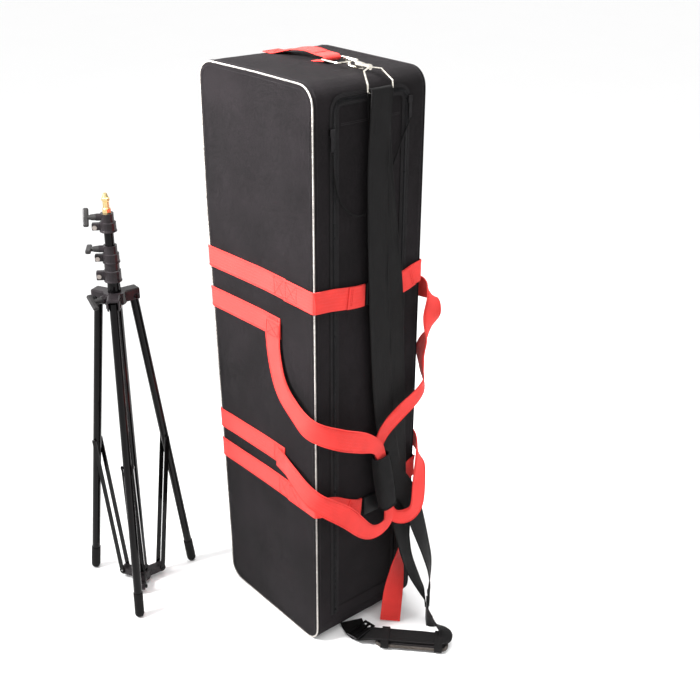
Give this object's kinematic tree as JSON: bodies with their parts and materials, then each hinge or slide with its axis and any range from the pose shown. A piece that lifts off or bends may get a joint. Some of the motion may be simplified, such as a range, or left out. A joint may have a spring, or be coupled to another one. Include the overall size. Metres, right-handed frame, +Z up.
{
  "type": "background support system",
  "caption": "Folding three-leg stand with a telescoping column and stud, beside its tall zipped carry bag with webbing straps, carry handles and shoulder strap.",
  "frame": {"origin": "centre of the bag's base, on the floor", "axes": "+Z up, +X out of the bag's zipped lid, -Y out of its front face; the stand is beside the bag's front left corner"},
  "size_m": [0.7611, 0.5536, 1.2041],
  "materials": {
    "black_tube": "gloss black",
    "casting": "dark painted casting",
    "knob_plastic": "matt grey",
    "brass": "turned",
    "bright_steel": "bright",
    "rubber": "matt",
    "bag_cloth": "woven nylon",
    "red_webbing": "woven",
    "black_webbing": "woven",
    "buckle_plastic": "moulded",
    "nickel": "plated",
    "crossbar_aluminium": "satin",
    "pad_cloth": "padded"
  },
  "bodies": {
    "bag": {"bag_shell": "bag_cloth", "upper_strap_band": "red_webbing", "lower_strap_band": "red_webbing", "upper_carry_strap": "red_webbing", "lower_carry_strap": "red_webbing", "end_handle": "red_webbing", "end_ring": "nickel", "hook_body": "nickel", "hook_eye": "nickel", "shoulder_strap": "black_webbing", "shoulder_strap_pad_run": "black_webbing", "strap_glide": "buckle_plastic", "slide_adjuster": "nickel", "shoulder_pad": "pad_cloth", "crossbar_socket_section": "crossbar_aluminium", "crossbar_spigot_section": "crossbar_aluminium"},
    "lid": {"bag_lid": "bag_cloth"},
    "left_slider": {"zip_slider_left": "nickel", "zip_pull_cord": "black_webbing"},
    "right_slider": {"zip_slider_right": "nickel"},
    "upper_front_end": {"upper_front_tab": "red_webbing", "upper_buckle_socket": "buckle_plastic"},
    "upper_rear_end": {"upper_rear_tab": "red_webbing", "upper_buckle_prong": "buckle_plastic"},
    "lower_front_end": {"lower_front_tab": "red_webbing", "lower_buckle_socket": "buckle_plastic"},
    "lower_rear_end": {"lower_rear_tab": "red_webbing", "lower_buckle_prong": "buckle_plastic", "lower_strap_tail": "red_webbing"},
    "front_grip_loop": {"front_handle": "red_webbing", "handle_grip": "black_webbing"},
    "rear_grip_loop": {"rear_handle": "red_webbing"},
    "gate": {"hook_gate": "nickel"},
    "stand_column": {"base_tube": "black_tube", "column_end_plug": "rubber", "bottom_casting": "casting", "lower_clamp": "casting", "lower_clamp_bolt": "bright_steel"},
    "middle_riser": {"middle_tube": "black_tube", "middle_clamp": "casting", "middle_clamp_bolt": "bright_steel"},
    "top_riser": {"top_tube": "black_tube", "top_clamp": "casting", "top_clamp_bolt": "bright_steel"},
    "spigot_stud": {"spigot": "brass"},
    "lower_knob": {"lower_clamp_knob": "knob_plastic"},
    "middle_knob": {"middle_clamp_knob": "knob_plastic"},
    "top_knob": {"top_clamp_knob": "knob_plastic"},
    "spider": {"leg_spider": "casting"},
    "spider_grip": {"spider_knob": "knob_plastic"},
    "brace_1": {"brace_1": "black_tube"},
    "brace_2": {"brace_2": "black_tube"},
    "brace_3": {"brace_3": "black_tube"},
    "leg_1": {"leg_tube_1": "black_tube", "foot_tip_1": "rubber"},
    "leg_2": {"leg_tube_2": "black_tube", "foot_tip_2": "rubber"},
    "leg_3": {"leg_tube_3": "black_tube", "foot_tip_3": "rubber"}
  },
  "joints": [
    {"name": "stand_carry", "type": "slide", "parent": "bag", "child": "stand_column", "axis": [-1, 0, 0], "range_m": [0, 0.4]},
    {"name": "leg_spread", "type": "hinge", "parent": "stand_column", "child": "brace_1", "pos_m": [-0.229, -0.33233, 0.018], "axis": [0.5446, 0.8387, 0], "range_deg": [-4.33, 31.74]},
    {"name": "leg_1_pin", "type": "hinge", "parent": "brace_1", "child": "leg_1", "pos_m": [-0.19745, -0.35281, 0.35678], "axis": [0.5446, 0.8387, 0], "range_deg": [-62.55, 8.54]},
    {"name": "spider_pin", "type": "hinge", "parent": "leg_1", "child": "spider", "pos_m": [-0.23445, -0.32879, 0.706], "axis": [0.5446, 0.8387, 0], "range_deg": [-4.21, 30.81]},
    {"name": "leg_2_pin", "type": "hinge", "parent": "spider", "child": "leg_2", "pos_m": [-0.26591, -0.26705, 0.706], "axis": [-0.9986, 0.0523, 0], "range_deg": [-30.81, 4.21]},
    {"name": "brace_2_pin", "type": "hinge", "parent": "stand_column", "child": "brace_2", "pos_m": [-0.26557, -0.26056, 0.018], "axis": [-0.9986, 0.0523, 0], "range_deg": [-4.34, 31.75]},
    {"name": "leg_3_pin", "type": "hinge", "parent": "spider", "child": "leg_3", "pos_m": [-0.30364, -0.32516, 0.706], "axis": [0.454, -0.891, 0], "range_deg": [-30.81, 4.21]},
    {"name": "brace_3_pin", "type": "hinge", "parent": "stand_column", "child": "brace_3", "pos_m": [-0.30943, -0.32811, 0.018], "axis": [0.454, -0.891, 0], "range_deg": [-4.34, 31.75]},
    {"name": "middle_rise", "type": "slide", "parent": "stand_column", "child": "middle_riser", "axis": [0, 0, 1], "range_m": [0, 0.55]},
    {"name": "top_rise", "type": "slide", "parent": "middle_riser", "child": "top_riser", "axis": [0, 0, 1], "range_m": [0, 0.55]},
    {"name": "spigot_lift", "type": "slide", "parent": "top_riser", "child": "spigot_stud", "axis": [0, 0, 1], "range_m": [0, 0.035]},
    {"name": "lower_knob_turn", "type": "hinge", "parent": "stand_column", "child": "lower_knob", "pos_m": [-0.28746, -0.29436, 0.7783], "axis": [-0.8387, 0.5446, 0], "range_deg": [0, 180]},
    {"name": "middle_knob_turn", "type": "hinge", "parent": "middle_riser", "child": "middle_knob", "pos_m": [-0.27987, -0.32528, 0.81425], "axis": [-0.5446, -0.8387, 0], "range_deg": [0, 180]},
    {"name": "top_knob_turn", "type": "hinge", "parent": "top_riser", "child": "top_knob", "pos_m": [-0.27944, -0.32461, 0.88], "axis": [-0.5446, -0.8387, 0], "range_deg": [0, 180]},
    {"name": "spider_knob_turn", "type": "hinge", "parent": "spider", "child": "spider_grip", "pos_m": [-0.26952, -0.33596, 0.71], "axis": [-0.0523, -0.9986, 0], "range_deg": [0, 180]},
    {"name": "lid_open", "type": "hinge", "parent": "bag", "child": "lid", "pos_m": [0.1595, 0, 0.0605], "axis": [0, 1, 0], "range_deg": [0, 90], "deforming": ["upper_front_tab", "upper_rear_tab", "lower_front_tab", "lower_rear_tab", "upper_buckle_socket", "upper_buckle_prong", "lower_buckle_socket", "lower_buckle_prong", "lower_strap_tail", "front_handle", "rear_handle", "handle_grip", "shoulder_strap", "shoulder_strap_pad_run", "zip_pull_cord"]},
    {"name": "zip_left_run", "type": "slide", "parent": "bag", "child": "left_slider", "axis": [0, 0, -1], "range_m": [0, 0.95]},
    {"name": "zip_right_run", "type": "slide", "parent": "bag", "child": "right_slider", "axis": [0, 0, -1], "range_m": [0, 0.95]},
    {"name": "upper_front_tab_swing", "type": "hinge", "parent": "bag", "child": "upper_front_end", "pos_m": [0.159, -0.1305, 0.79], "axis": [0, 0, 1], "range_deg": [-120, 0]},
    {"name": "upper_rear_tab_swing", "type": "hinge", "parent": "bag", "child": "upper_rear_end", "pos_m": [0.159, 0.1305, 0.79], "axis": [0, 0, 1], "range_deg": [0, 120]},
    {"name": "lower_front_tab_swing", "type": "hinge", "parent": "bag", "child": "lower_front_end", "pos_m": [0.159, -0.1305, 0.345], "axis": [0, 0, 1], "range_deg": [-120, 0]},
    {"name": "lower_rear_tab_swing", "type": "hinge", "parent": "bag", "child": "lower_rear_end", "pos_m": [0.159, 0.1305, 0.345], "axis": [0, 0, 1], "range_deg": [0, 120]},
    {"name": "front_handle_swing", "type": "hinge", "parent": "bag", "child": "front_grip_loop", "pos_m": [0.036, -0.135, 0.56], "axis": [0, 0, 1], "range_deg": [-110, 0]},
    {"name": "rear_handle_swing", "type": "hinge", "parent": "bag", "child": "rear_grip_loop", "pos_m": [0.036, 0.135, 0.56], "axis": [0, 0, 1], "range_deg": [0, 110]},
    {"name": "gate_press", "type": "hinge", "parent": "bag", "child": "gate", "pos_m": [0.1083, 0.01553, 1.18591], "axis": [0, 0.766, 0.6428], "range_deg": [0, 20], "stiffness_Nm_per_rad": 0.05, "springref_deg": -11.46}
  ],
  "couplings": [
    {"joint": "leg_1_pin", "follows": "leg_spread", "ratio": -1.9705},
    {"joint": "spider_pin", "follows": "leg_spread", "ratio": 0.9705},
    {"joint": "leg_2_pin", "follows": "leg_spread", "ratio": -0.9705},
    {"joint": "brace_2_pin", "follows": "leg_spread", "ratio": 1},
    {"joint": "leg_3_pin", "follows": "leg_spread", "ratio": -0.9705},
    {"joint": "brace_3_pin", "follows": "leg_spread", "ratio": 1},
    {"joint": "zip_left_run", "follows": "lid_open", "m_per_rad": 0.6},
    {"joint": "zip_right_run", "follows": "lid_open", "m_per_rad": 0.6},
    {"joint": "upper_front_tab_swing", "follows": "lid_open", "ratio": -1.3333},
    {"joint": "upper_rear_tab_swing", "follows": "lid_open", "ratio": 1.3333},
    {"joint": "lower_front_tab_swing", "follows": "lid_open", "ratio": -1.3333},
    {"joint": "lower_rear_tab_swing", "follows": "lid_open", "ratio": 1.3333},
    {"joint": "front_handle_swing", "follows": "lid_open", "ratio": -1.2222},
    {"joint": "rear_handle_swing", "follows": "lid_open", "ratio": 1.2222}
  ]
}
